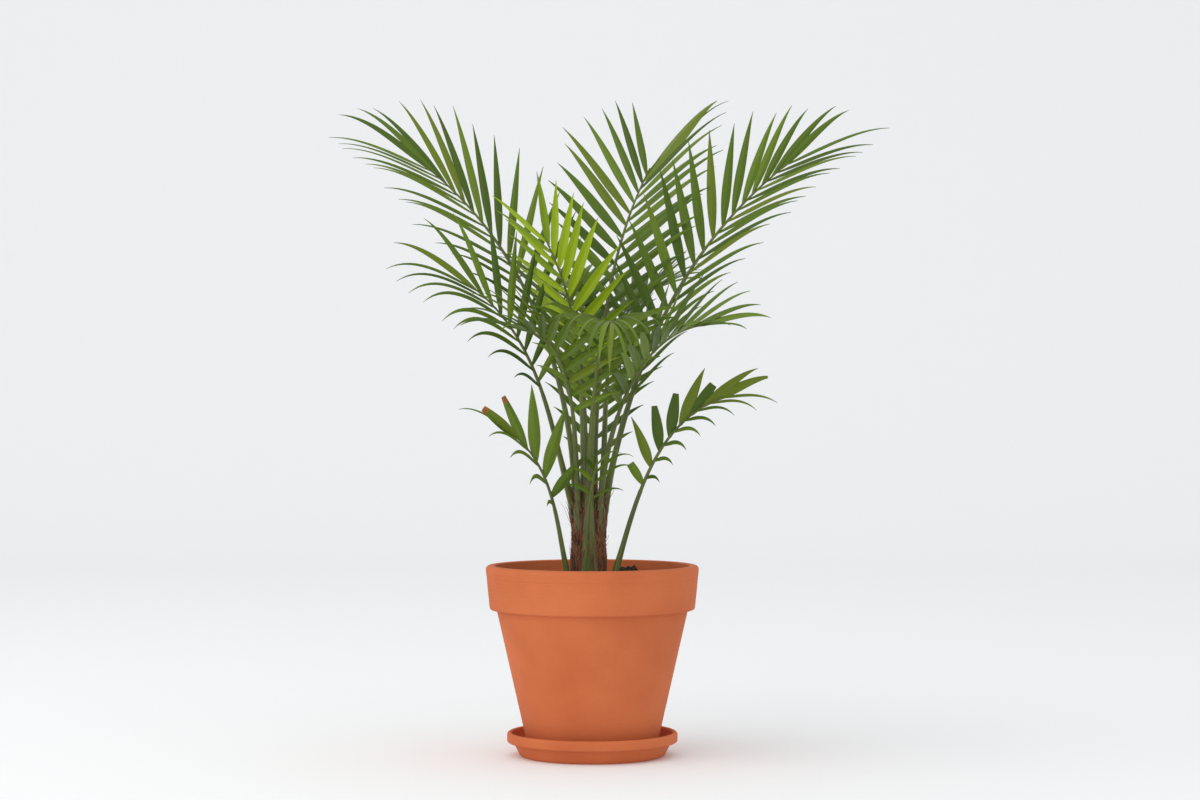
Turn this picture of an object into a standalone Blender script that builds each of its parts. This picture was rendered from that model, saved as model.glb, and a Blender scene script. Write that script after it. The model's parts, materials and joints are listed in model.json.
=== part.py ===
"""Feather palm in a terracotta pot that stands on its saucer.

Metres, +Z up. The origin is the middle of the saucer's flat underside. +X is the
viewer's right and -Y points towards the viewer. An azimuth of 0 points along +X and
one of 90 along +Y, and an elevation of 90 points straight up.

Each frond is a stalk that stands on the trunk or beside it, and a blade: a rib with
two rows of leaflets. A stalk and its blade share one curve from foot to tip.
"""
import random
from dataclasses import dataclass
from math import cos, pi, radians, sin, sqrt

import bmesh
import bpy
from mathutils import Matrix, Vector
from mathutils.bvhtree import BVHTree
from mathutils.geometry import interpolate_bezier

UP = Vector((0.0, 0.0, 1.0))

# Gap between pieces that touch
GAP = 0.0003

# Saucer
SAUCER_HEIGHT = 0.0335
SAUCER_RIM_RADIUS = 0.120
SAUCER_RIM_INNER_RADIUS = 0.1125
SAUCER_BAND_DEPTH = 0.0145
SAUCER_WALL_RADIUS = 0.1105
SAUCER_FOOT_RADIUS = 0.102
SAUCER_FLOOR = 0.0085
SAUCER_FLOOR_RADIUS = 0.100
SAUCER_EDGE_ROUND = 0.003
SAUCER_FOOT_ROUND = 0.004
SAUCER_BAND_TUCK = 0.0015

# Pot
POT_HEIGHT = 0.2675
POT_RIM_RADIUS = 0.150
POT_MOUTH_RADIUS = 0.137
POT_BAND_BOTTOM = 0.2065
POT_BAND_BOTTOM_RADIUS = 0.1445
POT_SHOULDER_RADIUS = 0.135
POT_FOOT_RADIUS = 0.090
POT_WALL = 0.0125
POT_FLOOR = 0.013
POT_SHELF = 0.2185
POT_SHELF_DROP = 0.006
POT_MOUTH_TAPER = 0.001
POT_FOOT_BEVEL = 0.002
POT_BAND_ROUND = 0.003
POT_INNER_ROUND = 0.002
POT_DRAIN_RADIUS = 0.010
LIP_ROUND = 0.0055
TURNED_STEPS = 40

# Potting mix
MIX_TOP = 0.238

# Trunk: a short stem wrapped in old leaf bases
TRUNK_X = -0.005
TRUNK_TOP = 0.345
TRUNK_RINGS = ((0.0, 0.0257), (0.16, 0.0240), (0.45, 0.0220), (0.76, 0.0240), (1.0, 0.0270))
TRUNK_SIDES = 20
STALK_CIRCLE = 0.021

# Fronds
HANDLE = 0.36
CURVE_STEPS = 80
TIP_RADIUS = 0.0012
STALK_SIDES = 8
STALK_RINGS = 7
RIB_RINGS = 7
FIRST_LEAFLET = 0.03
LAST_LEAFLET = 0.985
STAGGER = 0.35
SPACING_CLOSES = 0.25
LEAFLET_STEPS = 12
LEAFLET_THICKNESS = 0.0019
LEAFLET_SINK = 0.0015
STRAIGHT_STATIONS = ((0, 0.28), (5, 1.0), (12, 0.05))
DROOPING_STATIONS = ((0, 0.28), (4, 1.0), (9, 0.62), (12, 0.05))
MARKED_BEND = 0.0055
SWEEP_JITTER = 2.0
LIFT_JITTER = 2.0
LENGTH_JITTER = 0.03
CLEARANCE = 0.0008

# How a blade's parts taper and swell
RIB_TAPER_CURVE = 0.9
RIB_SWELL = 1.1
LEAFLETS_SHORTEN_CURVE = 1.6
END_LEAFLET_WIDTH = 0.75
SHEATH_SHARE = 0.45
SHEATH_CURVE = 1.5

# A three-sided ring's width and depth, for a radius of one
TRIANGLE_WIDTH = sqrt(3)
TRIANGLE_DEPTH = 1.5

# Turns and shortenings tried for a blocked leaflet
SWINGS = ((0, 1.0), (6, 1.0), (-6, 1.0), (12, 1.0), (-12, 1.0), (0, 0.72), (9, 0.72),
          (-9, 0.72), (18, 0.9), (-18, 0.9), (0, 0.5), (15, 0.5), (-15, 0.5))


@dataclass
class Row:
    """One row of leaflets. Pairs of values are for the blade's base and its tip."""
    sweep: tuple
    lift: tuple
    leaf: tuple
    droop: tuple
    peak: float = 0.45
    twist: float = 0.0


@dataclass
class Frond:
    """A frond's curve, the roll of its blade and its two rows of leaflets."""
    name: str
    foot: tuple
    tip: tuple
    leave: tuple
    arrive: tuple
    facing: float
    roll: float
    first: float
    pairs: int
    width: float
    close: float
    stalk: float
    plus: Row
    minus: Row
    sheath: tuple = ()


def on_trunk(azimuth, circle=STALK_CIRCLE):
    """A foot on the trunk's top, on the circle of stalks."""
    turn = radians(azimuth)
    return (TRUNK_X + circle * cos(turn), circle * sin(turn), TRUNK_TOP + GAP)


def by_trunk(x, y):
    """A foot on the potting mix, beside the trunk."""
    return (TRUNK_X + x, y, MIX_TOP + GAP)


FRONDS = (
    Frond("upper_left", on_trunk(142), (-0.239, 0.050, 0.834), (165, 87), (170, 38), 175, -60,
          0.40, 15, 0.0145, 1.2, 0.0050,
          Row((48, 24), (28, 28), (0.100, 0.165, 0.165), (0.35, 0.35)),
          Row((54, 0), (30, 30), (0.120, 0.165, 0.155), (0.0, 0.45))),
    Frond("upper_right", on_trunk(2), (0.281, 0.040, 0.839), (5, 80), (5, 38), 5, 60,
          0.25, 18, 0.0145, 2.5, 0.0052,
          Row((50, 3), (30, 30), (0.100, 0.155, 0.130), (0.05, 0.30)),
          Row((39, 24), (33, 24), (0.090, 0.150, 0.155), (0.30, 0.30))),
    Frond("upper_centre", on_trunk(72), (0.084, 0.140, 0.839), (80, 84), (50, 52), 70, 0,
          0.42, 14, 0.0145, 2.5, 0.0050,
          Row((58, 28), (22, 22), (0.070, 0.165, 0.120), (0.05, 0.05), 0.75),
          Row((58, 18), (22, 22), (0.110, 0.170, 0.165), (0.15, 0.40))),
    Frond("middle_left", on_trunk(184), (-0.166, -0.050, 0.657), (185, 74), (190, 38), 187, -60,
          0.48, 9, 0.0135, 2.5, 0.0048,
          Row((42, 20), (30, 30), (0.080, 0.165, 0.160), (1.00, 0.70)),
          Row((48, 0), (30, 30), (0.080, 0.140, 0.140), (0.05, 0.50))),
    Frond("low_right", by_trunk(0.0315, -0.0110), (0.180, -0.050, 0.504), (-10, 73), (-8, 22), -8, 60,
          0.44, 8, 0.0135, 1.0, 0.0046,
          Row((55, 0), (30, 30), (0.070, 0.085, 0.100), (0.05, 0.45)),
          Row((55, 20), (20, 20), (0.030, 0.055, 0.090), (1.50, 0.70)), (0.0065, 0.0045)),
    Frond("low_left", by_trunk(-0.0258, -0.0212), (-0.107, -0.060, 0.450), (185, 76), (200, 40),
          197, -55, 0.48, 5, 0.0145, 1.0, 0.0044,
          Row((60, 10), (28, 28), (0.040, 0.085, 0.120), (1.20, 0.50)),
          Row((60, 2), (30, 30), (0.070, 0.110, 0.090), (0.10, 0.10)), (0.0065, 0.0042)),
    Frond("young", (-0.006, 0.0, TRUNK_TOP + GAP), (-0.065, -0.090, 0.723), (-160, 87), (-160, 62),
          -140, 25, 0.50, 9, 0.0135, 1.5, 0.0042,
          Row((55, 15), (30, 30), (0.090, 0.120, 0.100), (0.05, 0.05)),
          Row((65, 40), (30, 30), (0.090, 0.120, 0.110), (0.05, 0.05))),
    Frond("front_arching", on_trunk(-88), (0.025, -0.270, 0.601), (-90, 86), (-84, -12), -87, 0,
          0.36, 12, 0.0135, 1.2, 0.0056,
          Row((62, 5), (28, -8), (0.090, 0.140, 0.100), (0.40, 3.00), 0.45, 25),
          Row((62, 10), (28, -8), (0.090, 0.140, 0.110), (0.40, 3.00), 0.45, 25)),
    Frond("front_right", on_trunk(-44), (0.153, -0.140, 0.602), (-45, 84), (-35, 5), -38, 25,
          0.40, 12, 0.0135, 1.5, 0.0048,
          Row((55, 5), (30, 30), (0.100, 0.120, 0.110), (0.10, 0.50)),
          Row((55, 20), (20, 20), (0.090, 0.120, 0.100), (0.40, 0.40))),
    Frond("front_left", on_trunk(-132), (-0.094, -0.170, 0.594), (-130, 84), (-135, 5), -132, -10,
          0.42, 10, 0.0125, 1.5, 0.0046,
          Row((58, 20), (25, 20), (0.090, 0.120, 0.090), (0.20, 0.80)),
          Row((58, 20), (30, 30), (0.090, 0.130, 0.100), (0.20, 0.80))),
    Frond("front_small", by_trunk(-0.0025, -0.0325), (0.007, -0.120, 0.415), (-88, 88), (-80, 30),
          -82, 0, 0.60, 4, 0.009, 1.0, 0.0038,
          Row((60, 20), (20, 20), (0.050, 0.070, 0.060), (1.00, 1.00)),
          Row((60, 20), (20, 20), (0.040, 0.045, 0.040), (1.00, 1.00)), (0.0110, 0.0052)),
    Frond("back_left", on_trunk(107), (-0.056, 0.270, 0.673), (107, 84), (108, 12), 107, 0,
          0.38, 13, 0.0145, 1.5, 0.0050,
          Row((58, 20), (28, 20), (0.090, 0.150, 0.120), (0.10, 0.60)),
          Row((58, 20), (28, 20), (0.090, 0.150, 0.120), (0.10, 0.60))),
    Frond("back_right", on_trunk(37), (0.089, 0.250, 0.665), (40, 83), (52, 14), 52, 0,
          0.38, 13, 0.0145, 1.5, 0.0050,
          Row((58, 20), (28, 20), (0.090, 0.150, 0.120), (0.10, 0.60)),
          Row((58, 20), (28, 20), (0.090, 0.140, 0.110), (0.10, 0.60))),
    Frond("back_low", by_trunk(0.001, 0.0320), (0.015, 0.240, 0.542), (86, 82), (88, 0), 87, 0,
          0.42, 10, 0.0135, 1.5, 0.0046,
          Row((58, 20), (25, 15), (0.060, 0.120, 0.100), (0.20, 0.80)),
          Row((58, 20), (25, 15), (0.060, 0.120, 0.100), (0.20, 0.80)), (0.0080, 0.0046)),
)


def clear_scene():
    """Remove what the file opens with."""
    for thing in list(bpy.data.objects):
        bpy.data.objects.remove(thing, do_unlink=True)


def plain_material(name, colour, roughness):
    """A Principled material with one colour."""
    made = bpy.data.materials.new(name)
    made.use_nodes = True
    shader = made.node_tree.nodes["Principled BSDF"]
    shader.inputs["Base Color"].default_value = (*colour, 1.0)
    shader.inputs["Roughness"].default_value = roughness
    shader.inputs["Metallic"].default_value = 0.0
    return made


def add_object(name, bm, made, smooth_angle=None):
    """Turn a bmesh into a named object with its material."""
    bmesh.ops.recalc_face_normals(bm, faces=bm.faces)
    mesh = bpy.data.meshes.new(name)
    bm.to_mesh(mesh)
    bm.free()
    mesh.materials.append(made)
    if smooth_angle is not None:
        mesh.shade_smooth()
        mesh.set_sharp_from_angle(angle=radians(smooth_angle))
    thing = bpy.data.objects.new(name, mesh)
    bpy.context.scene.collection.objects.link(thing)
    return thing


def arc(centre_r, centre_z, radius, start, end, steps):
    """Profile points along an arc, its angles in degrees from the outward axis."""
    points = []
    for i in range(steps + 1):
        turn = radians(start + (end - start) * i / steps)
        points.append((centre_r + radius * cos(turn), centre_z + radius * sin(turn)))
    return points


def turned(name, profile, made, closed):
    """Spin a profile of (radius, height) points about the Z axis."""
    bm = bmesh.new()
    verts = [bm.verts.new((radius, 0.0, height)) for radius, height in profile]
    pairs = list(zip(verts, verts[1:]))
    if closed:
        pairs.append((verts[-1], verts[0]))
    edges = [bm.edges.new(pair) for pair in pairs]
    bmesh.ops.spin(bm, geom=verts + edges, cent=(0, 0, 0), axis=(0, 0, 1),
                   angle=2 * pi, steps=TURNED_STEPS, use_merge=True)
    bmesh.ops.remove_doubles(bm, verts=bm.verts, dist=0.00001)
    return add_object(name, bm, made, 35)


def make_saucer(made):
    """The saucer: a flat dish with a thick rolled rim."""
    rim_round = (SAUCER_RIM_RADIUS - SAUCER_RIM_INNER_RADIUS) / 2
    rim_middle = SAUCER_RIM_RADIUS - rim_round
    band_bottom = SAUCER_HEIGHT - SAUCER_BAND_DEPTH
    edge = SAUCER_EDGE_ROUND
    foot_round = SAUCER_FOOT_ROUND
    profile = [(0.0, 0.0), (SAUCER_FOOT_RADIUS - edge, 0.0)]
    profile += arc(SAUCER_FOOT_RADIUS - edge, foot_round, foot_round, -90, -20, 3)[1:]
    profile += [(SAUCER_WALL_RADIUS, band_bottom - SAUCER_BAND_TUCK)]
    profile += arc(SAUCER_RIM_RADIUS - edge, band_bottom + edge, edge, -90, 0, 2)
    profile += arc(rim_middle, SAUCER_HEIGHT - rim_round, rim_round, 0, 180, 5)
    profile += [(SAUCER_FLOOR_RADIUS + edge, SAUCER_FLOOR + edge)]
    profile += [(SAUCER_FLOOR_RADIUS, SAUCER_FLOOR), (0.0, SAUCER_FLOOR)]
    return turned("saucer", profile, made, False)


def pot_body_radius(height):
    """The outer radius of the pot's tapering body."""
    foot = SAUCER_FLOOR + GAP
    share = (height - foot) / (POT_BAND_BOTTOM - foot)
    return POT_FOOT_RADIUS + (POT_SHOULDER_RADIUS - POT_FOOT_RADIUS) * share


def make_pot(made):
    """The pot: a tapering body under a deep rim band, with a drain hole."""
    foot = SAUCER_FLOOR + GAP
    floor = foot + POT_FLOOR
    bevel = POT_FOOT_BEVEL
    turn_in = POT_INNER_ROUND
    waist = POT_SHELF - POT_SHELF_DROP
    profile = [(POT_DRAIN_RADIUS, foot), (POT_FOOT_RADIUS - bevel, foot)]
    profile += [(pot_body_radius(foot + bevel), foot + bevel)]
    profile += [(POT_SHOULDER_RADIUS, POT_BAND_BOTTOM - bevel)]
    profile += arc(POT_BAND_BOTTOM_RADIUS - POT_BAND_ROUND, POT_BAND_BOTTOM + bevel,
                   POT_BAND_ROUND, -80, 0, 3)
    profile += arc(POT_RIM_RADIUS - LIP_ROUND, POT_HEIGHT - LIP_ROUND, LIP_ROUND, 0, 90, 3)
    profile += arc(POT_MOUTH_RADIUS + turn_in, POT_HEIGHT - turn_in, turn_in, 90, 180, 2)
    profile += [(POT_MOUTH_RADIUS - POT_MOUTH_TAPER, POT_SHELF)]
    profile += [(pot_body_radius(POT_SHELF) - POT_WALL, waist)]
    profile += [(pot_body_radius(floor) - POT_WALL, floor), (POT_DRAIN_RADIUS, floor)]
    return turned("pot", profile, made, True)


def make_mix(made):
    """The potting mix that fills the pot to a little under its rim."""
    floor = SAUCER_FLOOR + GAP + POT_FLOOR + GAP
    waist = POT_SHELF - POT_SHELF_DROP
    wall = POT_WALL + 2 * GAP
    mouth = POT_MOUTH_RADIUS - POT_MOUTH_TAPER - 2 * GAP
    profile = [(0.0, floor), (pot_body_radius(floor) - wall, floor)]
    profile += [(pot_body_radius(waist) - wall, waist), (mouth, POT_SHELF + GAP)]
    profile += [(mouth, MIX_TOP), (0.0, MIX_TOP)]
    return turned("potting_mix", profile, made, False)


def ring_frame(centre, across, face):
    """A matrix that puts a ring at a point, wide along one axis and thin along the other."""
    along = across.cross(face)
    frame = Matrix((across, face, along)).transposed().to_4x4()
    frame.translation = centre
    return frame


def add_limb(bm, rings, sides, pointed=False):
    """Bridge rings, each a (frame, half width, half thickness), into a closed limb."""
    loops = []
    for frame, across, deep in rings:
        scale = Matrix.Diagonal((across, deep, 1.0, 1.0))
        made = bmesh.ops.create_circle(bm, segments=sides, radius=1.0, matrix=frame @ scale)
        loops.append(made["verts"])
    for lower, upper in zip(loops, loops[1:]):
        edges = set()
        for loop in (lower, upper):
            inside = set(loop)
            for vert in loop:
                edges.update(e for e in vert.link_edges if e.other_vert(vert) in inside)
        bmesh.ops.bridge_loops(bm, edges=list(edges))
    bmesh.ops.contextual_create(bm, geom=loops[0])
    if pointed:
        tip = sum((v.co for v in loops[-1]), Vector()) / sides
        bmesh.ops.pointmerge(bm, verts=loops[-1], merge_co=tip)
    else:
        bmesh.ops.contextual_create(bm, geom=loops[-1])
    return bm


def make_trunk(made):
    """The short stem, flared at its foot and where the stalks leave it."""
    bm = bmesh.new()
    rings = []
    bottom = MIX_TOP + GAP
    for share, radius in TRUNK_RINGS:
        centre = Vector((TRUNK_X, 0.0, bottom + (TRUNK_TOP - bottom) * share))
        rings.append((ring_frame(centre, Vector((1, 0, 0)), Vector((0, 1, 0))), radius, radius))
    add_limb(bm, rings, TRUNK_SIDES)
    return add_object("trunk", bm, made, 50)


def mix(start, end, share):
    """The value a share of the way from start to end."""
    return start + (end - start) * share


def aim(direction):
    """A unit vector from an (azimuth, elevation) pair in degrees."""
    azimuth, elevation = (radians(angle) for angle in direction)
    return Vector((cos(elevation) * cos(azimuth), cos(elevation) * sin(azimuth), sin(elevation)))


class Rib:
    """A frond's curve from foot to tip, read by share of its length."""

    def __init__(self, frond):
        foot, tip = Vector(frond.foot), Vector(frond.tip)
        reach = (tip - foot).length * HANDLE
        self.points = interpolate_bezier(foot, foot + aim(frond.leave) * reach,
                                         tip - aim(frond.arrive) * reach, tip, CURVE_STEPS + 1)
        self.marks = [0.0]
        for start, end in zip(self.points, self.points[1:]):
            self.marks.append(self.marks[-1] + (end - start).length)
        self.length = self.marks[-1]
        self.frond = frond

    def point(self, share):
        """The point at a share of the length."""
        wanted = min(max(share, 0.0), 1.0) * self.length
        for i in range(CURVE_STEPS):
            if self.marks[i + 1] >= wanted:
                break
        part = (wanted - self.marks[i]) / (self.marks[i + 1] - self.marks[i])
        return self.points[i].lerp(self.points[i + 1], part)

    def frame(self, share):
        """The curve's direction, the blade's side and its upper face there."""
        low, high = max(share - 0.01, 0.0), min(share + 0.01, 1.0)
        along = (self.point(high) - self.point(low)).normalized()
        turn = radians(self.frond.facing)
        side = Vector((-sin(turn), cos(turn), 0.0))
        side = (side - along * side.dot(along)).normalized()
        face = along.cross(side)
        rolled = Matrix.Rotation(radians(self.frond.roll), 3, along)
        return along, rolled @ side, rolled @ face

    def radius(self, share):
        """The half thickness of stalk and rib."""
        return mix(self.frond.stalk, TIP_RADIUS, share ** RIB_TAPER_CURVE)


def leaf_length(row, share):
    """The leaflet's length: it rises to the row's longest, then falls to its last."""
    first, longest, last = row.leaf
    if share < row.peak:
        return mix(first, longest, sin(share / row.peak * pi / 2))
    return mix(longest, last, ((share - row.peak) / (1 - row.peak)) ** LEAFLETS_SHORTEN_CURVE)


def leaflets(frond, rib):
    """Yield each leaflet's root, row sign, length and the angles of its direction."""
    dice = random.Random(frond.name)
    for sign, row in ((1, frond.plus), (-1, frond.minus)):
        late = 0.0 if sign > 0 else STAGGER
        for i in range(frond.pairs):
            share = min((i + late) / (frond.pairs - 1 + STAGGER), 1.0)
            place = share * (1 + SPACING_CLOSES - SPACING_CLOSES * share)
            place = mix(frond.first + FIRST_LEAFLET, LAST_LEAFLET, place)
            sweep = mix(*row.sweep, share ** frond.close) + dice.gauss(0, SWEEP_JITTER)
            lift = mix(*row.lift, share) + dice.gauss(0, LIFT_JITTER)
            length = leaf_length(row, share) * (1 + dice.gauss(0, LENGTH_JITTER))
            droop = mix(*row.droop, share ** 3)
            width = frond.width * mix(END_LEAFLET_WIDTH, 1.0, sin(pi * min(share * 1.2, 1.0)))
            yield place, sign, row, sweep, lift, length, droop, width


def leaflet_line(rib, leaf, swing=0.0, part=1.0):
    """Centre points and cross-section axes along a leaflet, from root to tip."""
    place, sign, row, sweep, lift, length, droop, width = leaf
    along, side, face = rib.frame(place)
    turn, rise = radians(sweep), radians(lift + swing)
    out = side * (sign * cos(rise)) + face * sin(rise)
    heading = along * cos(turn) + out * sin(turn)
    centre = rib.point(place) - heading * LEAFLET_SINK
    across = (along - heading * along.dot(heading)).normalized()
    stations = []
    for i in range(LEAFLET_STEPS + 1):
        share = i / LEAFLET_STEPS
        bent = (heading - UP * (droop * share * share)).normalized()
        across = (across - bent * across.dot(bent)).normalized()
        twisted = Matrix.Rotation(radians(-sign * row.twist * share), 3, bent) @ across
        stations.append((centre.copy(), twisted, (twisted.cross(bent) * sign).normalized()))
        centre = centre + bent * (length * part / LEAFLET_STEPS)
    return stations


def leaflet_rings(stations, width, margin=0.0):
    """Three-sided rings of a leaflet: a flat underside and a raised midrib."""
    rings = []
    bend = stations[0][0].lerp(stations[-1][0], 0.5) - stations[LEAFLET_STEPS // 2][0]
    chosen = DROOPING_STATIONS if bend.length > MARKED_BEND else STRAIGHT_STATIONS
    for index, share in chosen:
        centre, across, face = stations[index]
        rings.append((ring_frame(centre, across, face), (width * share + margin) / TRIANGLE_WIDTH,
                      (LEAFLET_THICKNESS + margin) / TRIANGLE_DEPTH))
    return rings


def leaflet_mesh(stations, width, margin=0.0):
    """A leaflet as a bmesh of its own."""
    return add_limb(bmesh.new(), leaflet_rings(stations, width, margin), 3, pointed=True)


def stalk_rings(rib):
    """Rings of the stalk, its foot level and widened into a sheath where it has one."""
    frond = rib.frond
    rings = []
    for i in range(STALK_RINGS):
        share = i / (STALK_RINGS - 1)
        place = frond.first * share
        along, side, face = rib.frame(place)
        centre = rib.point(place)
        radius = rib.radius(place)
        if i == 0:
            side = Vector((side.x, side.y, 0.0)).normalized()
            face = UP.cross(side)
        flare = max(0.0, 1 - share / SHEATH_SHARE) ** SHEATH_CURVE
        wide, deep = frond.sheath or (radius, radius)
        rings.append((ring_frame(centre, side, face), mix(radius, wide, flare), mix(radius, deep, flare)))
    return rings


def rib_rings(rib):
    """Rings of the blade's three-sided rib."""
    rings = []
    start = rib.frond.first + GAP / rib.length
    for i in range(RIB_RINGS):
        place = mix(start, 1.0, i / (RIB_RINGS - 1))
        along, side, face = rib.frame(place)
        radius = rib.radius(place) * RIB_SWELL
        rings.append((ring_frame(rib.point(place), side, face), radius, radius))
    return rings


class Taken:
    """The space that placed pieces fill, for finding leaflets that would touch them."""

    def __init__(self):
        self.pieces = []

    def add(self, owner, bm):
        """Remember a piece's surface."""
        bm.normal_update()
        low = Vector([min(v.co[k] for v in bm.verts) for k in range(3)])
        high = Vector([max(v.co[k] for v in bm.verts) for k in range(3)])
        self.pieces.append((owner, low, high, BVHTree.FromBMesh(bm)))

    def touches(self, owner, bm):
        """Whether a piece meets any other owner's."""
        bm.normal_update()
        low = Vector([min(v.co[k] for v in bm.verts) for k in range(3)])
        high = Vector([max(v.co[k] for v in bm.verts) for k in range(3)])
        tree = BVHTree.FromBMesh(bm)
        for other, other_low, other_high, other_tree in self.pieces:
            if other == owner:
                continue
            if any(low[k] > other_high[k] or high[k] < other_low[k] for k in range(3)):
                continue
            if tree.overlap(other_tree):
                return True
        return False


def fuse(name, core, pieces, made):
    """Join a rib and its leaflets into one solid with one Boolean union."""
    base = add_object(name, core, made)
    holder = bpy.data.collections.new(name + "_leaflets")
    bpy.context.scene.collection.children.link(holder)
    for bm in pieces:
        piece = add_object(name + "_leaflet", bm, made)
        bpy.context.scene.collection.objects.unlink(piece)
        holder.objects.link(piece)
    union = base.modifiers.new("join leaflets", "BOOLEAN")
    union.operation = "UNION"
    union.operand_type = "COLLECTION"
    union.collection = holder
    union.solver = "MANIFOLD"
    bpy.context.view_layer.update()
    joined = bpy.data.meshes.new_from_object(base.evaluated_get(bpy.context.evaluated_depsgraph_get()))
    base.modifiers.clear()
    base.data = joined
    for piece in list(holder.objects):
        bpy.data.objects.remove(piece, do_unlink=True)
    bpy.data.collections.remove(holder)
    keep_largest_piece(joined)
    return base


def keep_largest_piece(mesh):
    """Keep the mesh's largest connected piece."""
    bm = bmesh.new()
    bm.from_mesh(mesh)
    left = set(bm.verts)
    groups = []
    while left:
        group = set()
        waiting = [left.pop()]
        while waiting:
            vert = waiting.pop()
            group.add(vert)
            near = [e.other_vert(vert) for e in vert.link_edges]
            fresh = [v for v in near if v in left]
            left.difference_update(fresh)
            waiting.extend(fresh)
        groups.append(group)
    groups.sort(key=len)
    scraps = [vert for group in groups[:-1] for vert in group]
    bmesh.ops.delete(bm, geom=scraps, context="VERTS")
    bm.to_mesh(mesh)
    bm.free()


def make_fronds(stalk_material, blade_material, young_material):
    """Every frond's stalk and blade. A leaflet that finds no free space is left out."""
    taken = Taken()
    ribs = {}
    stalks = []
    for frond in FRONDS:
        rib = Rib(frond)
        ribs[frond.name] = rib
        stalk = add_limb(bmesh.new(), stalk_rings(rib), STALK_SIDES)
        taken.add("stalk_" + frond.name, stalk)
        core = add_limb(bmesh.new(), rib_rings(rib), 3)
        taken.add(frond.name, core)
        core.free()
        stalks.append(add_object("stalk_" + frond.name, stalk, stalk_material, 60))
    blades = []
    for frond in FRONDS:
        rib = ribs[frond.name]
        pieces = []
        for leaf in leaflets(frond, rib):
            for swing, part in SWINGS:
                stations = leaflet_line(rib, leaf, swing, part)
                trial = leaflet_mesh(stations, leaf[-1], CLEARANCE)
                blocked = taken.touches(frond.name, trial)
                trial.free()
                if not blocked:
                    piece = leaflet_mesh(stations, leaf[-1])
                    taken.add(frond.name, piece)
                    pieces.append(piece)
                    break
        core = add_limb(bmesh.new(), rib_rings(rib), 3)
        made = young_material if frond.name == "young" else blade_material
        blades.append(fuse("frond_" + frond.name, core, pieces, made))
    return stalks + blades


def main():
    """Build the whole plant in its pot under one empty."""
    clear_scene()
    terracotta = plain_material("terracotta", (0.58, 0.20, 0.085), 0.85)
    earth = plain_material("potting mix", (0.035, 0.022, 0.014), 0.95)
    fibre = plain_material("leaf base fibre", (0.13, 0.065, 0.035), 0.9)
    stalk_green = plain_material("stalk green", (0.10, 0.15, 0.045), 0.5)
    leaf_green = plain_material("leaf green", (0.08, 0.16, 0.035), 0.45)
    young_green = plain_material("young leaf green", (0.22, 0.34, 0.03), 0.45)
    pieces = [make_saucer(terracotta), make_pot(terracotta), make_mix(earth), make_trunk(fibre)]
    pieces += make_fronds(stalk_green, leaf_green, young_green)
    root = bpy.data.objects.new("potted_feather_palm", None)
    bpy.context.scene.collection.objects.link(root)
    for piece in pieces:
        piece.parent = root


main()
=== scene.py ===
"""Dresses the potted feather palm: turned terracotta, potting mix, fibrous stem, stalks and leaflets.

Metres, +Z up, in the CAD model's frame. Each frond grows by the rule that its solids
were made by, with the same seeds. The solids also move or leave out a few leaflets that
would touch another frond, and here those stand where the rule puts them.
"""
import json
import random
from dataclasses import dataclass
from math import cos, pi, radians, sin

import bmesh
import bpy
from mathutils import Matrix, Vector, noise
from mathutils.geometry import interpolate_bezier

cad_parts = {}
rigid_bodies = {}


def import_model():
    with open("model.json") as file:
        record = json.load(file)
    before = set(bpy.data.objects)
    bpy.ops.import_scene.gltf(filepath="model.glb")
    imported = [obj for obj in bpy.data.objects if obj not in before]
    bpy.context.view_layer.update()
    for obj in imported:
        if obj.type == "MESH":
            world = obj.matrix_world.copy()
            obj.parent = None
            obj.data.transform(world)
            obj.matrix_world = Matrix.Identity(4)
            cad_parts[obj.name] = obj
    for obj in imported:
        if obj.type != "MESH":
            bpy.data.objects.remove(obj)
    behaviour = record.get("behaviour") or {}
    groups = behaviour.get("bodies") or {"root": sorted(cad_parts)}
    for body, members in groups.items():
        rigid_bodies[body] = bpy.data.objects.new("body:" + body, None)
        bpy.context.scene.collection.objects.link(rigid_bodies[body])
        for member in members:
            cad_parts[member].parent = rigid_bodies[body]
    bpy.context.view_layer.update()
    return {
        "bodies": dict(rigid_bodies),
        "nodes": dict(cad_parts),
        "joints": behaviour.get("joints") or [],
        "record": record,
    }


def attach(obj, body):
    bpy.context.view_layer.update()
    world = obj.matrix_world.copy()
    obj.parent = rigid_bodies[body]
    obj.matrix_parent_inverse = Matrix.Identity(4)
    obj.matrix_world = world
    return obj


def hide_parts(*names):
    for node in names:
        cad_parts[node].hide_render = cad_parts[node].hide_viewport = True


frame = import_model()

UP = Vector((0.0, 0.0, 1.0))
# Gap between pieces that touch
GAP = 0.0003

# Saucer
SAUCER_HEIGHT = 0.0335
SAUCER_RIM_RADIUS = 0.120
SAUCER_RIM_INNER_RADIUS = 0.1125
SAUCER_BAND_DEPTH = 0.0145
SAUCER_WALL_RADIUS = 0.1105
SAUCER_FOOT_RADIUS = 0.102
SAUCER_FLOOR = 0.0085
SAUCER_FLOOR_RADIUS = 0.100
SAUCER_EDGE_ROUND = 0.003
SAUCER_FOOT_ROUND = 0.004
SAUCER_BAND_TUCK = 0.0015

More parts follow.
